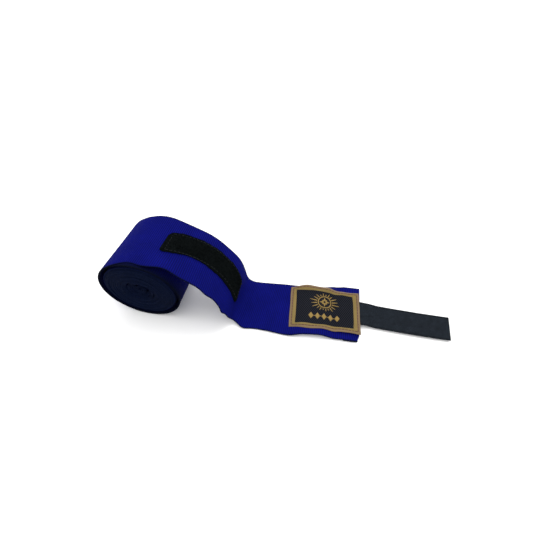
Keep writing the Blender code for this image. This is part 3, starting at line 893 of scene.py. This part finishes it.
pile = build_loop()
fuzz = build_fuzz()
d0, d1 = LOOP_START + LOOP_INSET, LOOP_START + LOOP_LENGTH - LOOP_INSET
s0 = LOOP_WIDTH / 2 - LOOP_INSET
loop_corners = [(d0, -s0), (d1, -s0), (d1, s0), (d0, s0)]
loop_stitches = stitch_paths(loop_point, loop_corners, 2.1 * MM, 0.7 * MM, 1.6 * MM, 0.5 * MM)
loop_seam = tubes("loop_strip_seam", loop_stitches, 0.2 * MM, 6, dark_thread)
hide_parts("loop_strip")
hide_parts("loop_strip_stitching")
for piece, slot in ((pile, "loop_pile"), (fuzz, "loop_pile"), (loop_seam, "dark_thread")):
    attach(piece, "drape")

# ---------------- label
LABEL_BASE = 0.15 * MM
PANEL_MIDDLE, PANEL_HALF = 0.3 * MM, 0.28 * MM  # its height over the label's base and half its thickness
PANEL_UNDER = 0.6 * MM  # how far it reaches under the border
SEAM_AT = (0.45, 0.34)  # where the stitches run across the border, along its sides and across its ends
MOTIF_FOOT = 0.56 * MM  # height at which the embroidery begins
MOTIF_HEIGHT = 0.3 * MM


def label_corners(end, side):
    """The label's four corners, moved in from its ends and its sides."""
    x, y = LABEL_LENGTH - end, LABEL_WIDTH / 2 - side
    return [(-x, -y), (-end, -y), (-end, y), (-x, y)]


def build_panel():
    (x0, y0), (x1, y1) = label_corners(BORDER_END - PANEL_UNDER, BORDER_SIDE - PANEL_UNDER)[::2]
    x, y = lattice(x0, x1, 80, y0, y1, 50)
    pucker = 0.12 * MM * np.sin(x / (3.1 * MM)) * ease(np.abs(y), 8 * MM, 6 * MM)
    grid = label_point(x, y, LABEL_BASE + PANEL_MIDDLE + pucker)
    return ribbon("label_cloth", grid, PANEL_HALF, x[:, 0], y, panel_look)


def build_border():
    """A frame of folded tape, mitred at its corners, with a groove where it is stitched."""
    outer, inner = (np.array(label_corners(*at)) for at in ((0.0, 0.0), (BORDER_END, BORDER_SIDE)))
    points, faces, uvs = [], [], []
    for k in range(4):
        side, after = k % 2 == 0, (k + 1) % 4
        t = np.linspace(0, 1, 130 if side else 90)[:, None, None]
        share = np.linspace(0, 1, 15)[None, :, None]
        a, b = outer[k] + (outer[after] - outer[k]) * t, inner[k] + (inner[after] - inner[k]) * t
        flat = a * (1 - share) + b * share
        across = np.broadcast_to(share[..., 0], flat.shape[:2])
        reach = np.broadcast_to(t[..., 0], flat.shape[:2]) * np.linalg.norm(outer[after] - outer[k])
        pillow = np.sin(math.pi * np.clip(across, 0.02, 0.98)) ** 0.45
        pull = 0.5 + 0.5 * np.cos(2 * math.pi * reach / (2.6 * MM))
        height = (0.25 + 0.62 * pillow - bump(across, SEAM_AT[k % 2], 0.09) * (0.2 + 0.18 * pull)) * MM
        wavy = 0.25 * MM * np.sin(reach / (3.4 * MM) + k) * (1.0 if side else 0.4) * (1 - across)
        x, y = flat[..., 0] + wavy * (not side), flat[..., 1] + wavy * side
        top = label_point(x, y, LABEL_BASE + height)
        low = label_point(x, y, LABEL_BASE - 0.05 * MM)
        faces += closed_faces(len(x), 2 * x.shape[1], len(points))
        points += np.concatenate([top, low[:, ::-1]], 1).reshape(-1, 3).tolist()
        uv = np.stack([reach, across * BORDER_SIDE], -1)
        uvs += np.concatenate([uv, uv[:, ::-1]], 1).reshape(-1, 2).tolist()
    return make_object("label_border_tape", points, faces, uvs, border_look)


def motif(name, outlines):
    """Raised satin-stitch shapes, each a pillow over a closed outline round its own centre."""
    points, faces, uvs = [], [], []
    rings = (0.35, 0.7, 0.9, 1.0)

    def put(place, height):
        points.append(label_point(place[0], place[1], LABEL_BASE + height))
        uvs.append(place)

    for centre, outline in outlines:
        start, count = len(points), len(outline)
        for r in rings:
            for p in outline:
                put(centre + (p - centre) * r, MOTIF_FOOT + MOTIF_HEIGHT * (1.0 - r**3) ** 0.5)
        hub = len(points)
        put(centre, MOTIF_FOOT + MOTIF_HEIGHT)
        for p in outline:
            put(p, 0.4 * MM)
        last, base = hub - count, hub + 1
        for i in range(count):
            j = (i + 1) % count
            faces.append([hub, start + i, start + j])
            for a in range(start, last, count):
                faces.append([a + i, a + count + i, a + count + j, a + j])
            faces.append([last + i, base + i, base + j, last + j])
        faces.append(list(range(base + count - 1, base - 1, -1)))
    return make_object(name, points, faces, uvs, gold_look)


def spoke(a):
    return np.array([math.cos(a), math.sin(a)])


def bar_shape(mid, out, long, wide, taper_to=1.0):
    """A short bar round its middle, narrower towards its far end."""
    side = np.array([-out[1], out[0]]) * wide
    start, end, far = mid - out * long, mid + out * long, side * taper_to
    return mid, [start - side, end - far, end + far, start + side]


def build_emblem():
    """A plain eight-pointed star in a ring, with rays reaching out further to its sides."""
    shapes, r = [], EMBLEM_RADIUS
    for k in range(40):
        out = spoke(2 * math.pi * k / 40)
        shapes.append(bar_shape(EMBLEM + out * 0.60 * r, out, 0.05 * r, 0.05 * r))
    for k in range(20):
        out = spoke(2 * math.pi * (k + 0.5) / 20)
        near, far = 0.72 * r, r * (0.97 + 0.46 * abs(out[0]) ** 3) * (1.0 if k % 2 else 0.9)
        shapes.append(bar_shape(EMBLEM + out * (near + far) / 2, out, (far - near) / 2, 0.055 * r, 0.35))
    for k in range(8):
        out = spoke(2 * math.pi * k / 8 + math.pi / 2)
        side = np.array([-out[1], out[0]]) * 0.1 * r
        length = (0.52 if k % 2 == 0 else 0.36) * r
        mid = EMBLEM + out * (0.3 * length + 0.06 * r)
        shapes.append((mid, [EMBLEM + out * 0.08 * r, mid - side, EMBLEM + out * length, mid + side]))
    return motif("label_medallion", shapes)


def build_bar():
    """A row of lozenges with dots between them."""
    shapes, count = [], 5
    pitch = BAR_LENGTH / count
    w, h = pitch * 0.4, BAR_WIDTH / 2
    for k in range(count):
        mid = BAR + np.array([(k - (count - 1) / 2) * pitch, 0.0])
        shapes.append((mid, [mid + (w, 0), mid + (0, h), mid - (w, 0), mid - (0, h)]))
        if k < count - 1:
            dot = mid + (pitch / 2, 0)
            shapes.append((dot, [dot + 0.45 * MM * spoke(2 * math.pi * i / 8) for i in range(8)]))
    return motif("label_lozenges", shapes)


panel = build_panel()
border = build_border()
medallion = build_emblem()
lozenges = build_bar()
seam_corners = label_corners(BORDER_END * SEAM_AT[1], BORDER_SIDE * SEAM_AT[0])
label_stitches = stitch_paths(label_point, seam_corners, 2.0 * MM, 0.6 * MM, LABEL_BASE + 0.8 * MM, 0.3 * MM)
label_seam = tubes("label_seam", label_stitches, 0.26 * MM, 6, plum_thread)
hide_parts("label_panel")
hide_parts("label_border")
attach(border, "tail")
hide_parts("label_emblem")
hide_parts("label_bar")
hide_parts("label_stitching")
for piece, slot in (
    (panel, "label_weave"),
    (medallion, "gold_thread"),
    (lozenges, "gold_thread"),
    (label_seam, "plum_thread"),
):
    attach(piece, "tail")


# ---------------- hook strap
def strap_top(distance):
    high = 2.0 * (BAND + GAP) + BAND
    low = HOOKS + GAP + STRAP
    return high + (low - high) * ease(distance, STRAP_FOLD, STRAP_DROP_END - STRAP_FOLD)


def strap_point(distance, side, height):
    """A point over the strap's upper face, at a distance from the band's end; before it, inside the hem."""
    t = np.maximum(distance, 0.0) / STRAP_FREE
    drift = STRAP_DRIFT * t + STRAP_BOW * 4.0 * t * (1.0 - t)
    heading = np.arctan((STRAP_DRIFT + STRAP_BOW * 4.0 * (1.0 - 2.0 * t)) / STRAP_FREE)
    back = np.tan(heading) * np.minimum(distance, 0.0)
    inside = tail_lift(np.minimum(distance, 0.0), side) * smooth(1.0 - distance / (8.0 * MM))
    px = TAIL_END[0] + distance - np.sin(heading) * side
    py = TAIL_END[1] + STRAP_OFFSET + drift + back + np.cos(heading) * side
    return np.stack([px, py, strap_top(distance) + height + inside], -1)


def build_strap():
    half = STRAP_WIDTH / 2 - STRAP / 2
    d, y = lattice(-STRAP_TAB, STRAP_FREE, 150, -half, half, 25)
    return ribbon("strap_tape", strap_point(d, y, -STRAP / 2), 0.36 * MM, d[:, 0], y, strap_look)


HOOK_BACK = 0.14 * MM  # half the backing's thickness
HOOK_SIDE = 9.3 * MM  # half the backing's width
HOOK_PITCH = 1.35 * MM
HOOK_ROW = 1.15 * MM
HOOK_HEIGHT = 0.68 * MM
HOOK_REACH = 0.408 * MM
HOOK_STEM = 0.45  # share of a hook that stands straight
HOOK_CURL = 2.6  # radians its end turns through


def build_hooks():
    """The moulded hook field under the strap."""
    top = -STRAP - 0.1 * MM
    d, y = lattice(STRAP_FOLD + 2.2 * MM, STRAP_FREE - 1.2 * MM, 60, -HOOK_SIDE, HOOK_SIDE, 14)
    base = ribbon("hook_backing", strap_point(d, y, top - 0.15 * MM), HOOK_BACK, d[:, 0], y, nylon_look)
    t = np.linspace(0, 1, 7)
    bend = HOOK_CURL * np.maximum(t - HOOK_STEM, 0.0) / (1.0 - HOOK_STEM)
    reach = HOOK_REACH * (1 - np.cos(bend)) / 1.86
    height = top - 0.25 * MM
    height = height - HOOK_HEIGHT * np.where(t < HOOK_STEM, t / HOOK_STEM * 0.72, 0.72 + 0.28 * np.sin(bend))
    paths = []
    for at in np.arange(STRAP_FOLD + 3.2 * MM, STRAP_FREE - 2.0 * MM, HOOK_PITCH):
        for j, across in enumerate(np.arange(-8.6 * MM, 8.7 * MM, HOOK_ROW)):
            paths.append(strap_point(at + (-1) ** j * reach, np.full_like(t, across), height))
    return base, tubes("hook_field", np.array(paths), 0.1 * MM, 4, nylon_look)


strap = build_strap()
hook_base, hook_field = build_hooks()
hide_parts("hook_strap", "hook_strap_tab")
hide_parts("strap_hooks")
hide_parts("strap_hooks")
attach(hook_base, "strap")
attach(hook_field, "strap")
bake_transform(strap)

# ---------------- tacking of the thumb loop
tack_paths = []
for at in np.linspace(0.05, 0.13, 4):
    for side in np.arange(-20.0, 18.0, 2.6) * MM:
        ss = side + np.linspace(0, 2.0, 5) * MM
        tack_paths.append(wind_point(np.full_like(ss, at), ss, -WIND_BAND - 0.12 * MM))
tack = tubes("thumb_loop_seam", np.array(tack_paths), 0.12 * MM, 5, dark_thread)
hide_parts("thumb_loop_stitching")
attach(tack, "roll")

# ---------------- stage
FLOOR_HALF, FLOOR_Z = 3.0, -0.0004
floor_mesh = bpy.data.meshes.new("floor")
corners = [(x * FLOOR_HALF, y * FLOOR_HALF, FLOOR_Z) for x, y in ((-1, -1), (1, -1), (1, 1), (-1, 1))]
floor_mesh.from_pydata(corners, [], [(0, 1, 2, 3)])
floor = link("floor", floor_mesh)
paint = Nodes("floor_paint")
paint.shader.inputs["Roughness"].default_value = 0.9
tone = paint.noise(paint.place(), 3.0, 2.0)
paint.put(paint.shader.inputs["Base Color"], paint.mix(tone, (0.86, 0.86, 0.86, 1), (0.9, 0.9, 0.9, 1)))
floor_mesh.materials.append(paint.material)

world = bpy.data.worlds.new("studio")
bpy.context.scene.world = world
world.use_nodes = True
sky = world.node_tree
coordinate = sky.nodes.new("ShaderNodeTexCoord")
split = sky.nodes.new("ShaderNodeSeparateXYZ")
ramp = sky.nodes.new("ShaderNodeMapRange")
sky.links.new(coordinate.outputs["Generated"], split.inputs[0])
sky.links.new(split.outputs[2], ramp.inputs["Value"])
for label, value in (("From Min", 0.0), ("From Max", 0.9), ("To Min", 0.42), ("To Max", 1.8)):
    ramp.inputs[label].default_value = value
sky.links.new(ramp.outputs[0], sky.nodes["Background"].inputs["Strength"])
sky.nodes["Background"].inputs["Color"].default_value = (1.0, 1.0, 1.0, 1.0)


def aim(made, place, target):
    """Stands a light or a camera at a place, turned towards a target."""
    made.location = place
    made.rotation_euler = (Vector(target) - Vector(place)).to_track_quat("-Z", "Y").to_euler()


def area_light(name, place, target, size, power):
    data = bpy.data.lights.new(name, "AREA")
    data.shape = "DISK"
    data.size = size
    data.energy = power
    aim(link(name, data), place, target)


area_light("key", (0.35, 0.55, 0.9), (-0.02, 0.0, 0.0), 0.7, 5.0)
area_light("fill", (-0.6, 0.1, 0.9), (-0.02, 0.0, 0.0), 0.9, 2.0)

camera_data = bpy.data.cameras.new("camera")
camera_data.sensor_width = 36.0
camera_data.lens = 26.97
camera_data.clip_start = 0.01
camera_data.clip_end = 20.0
camera = link("camera", camera_data)
aim(camera, (0.01947, -0.19077, 0.2739), (-0.00746, 0.02546, 0.0))
bpy.context.scene.camera = camera
bpy.context.scene.view_settings.view_transform = "Standard"
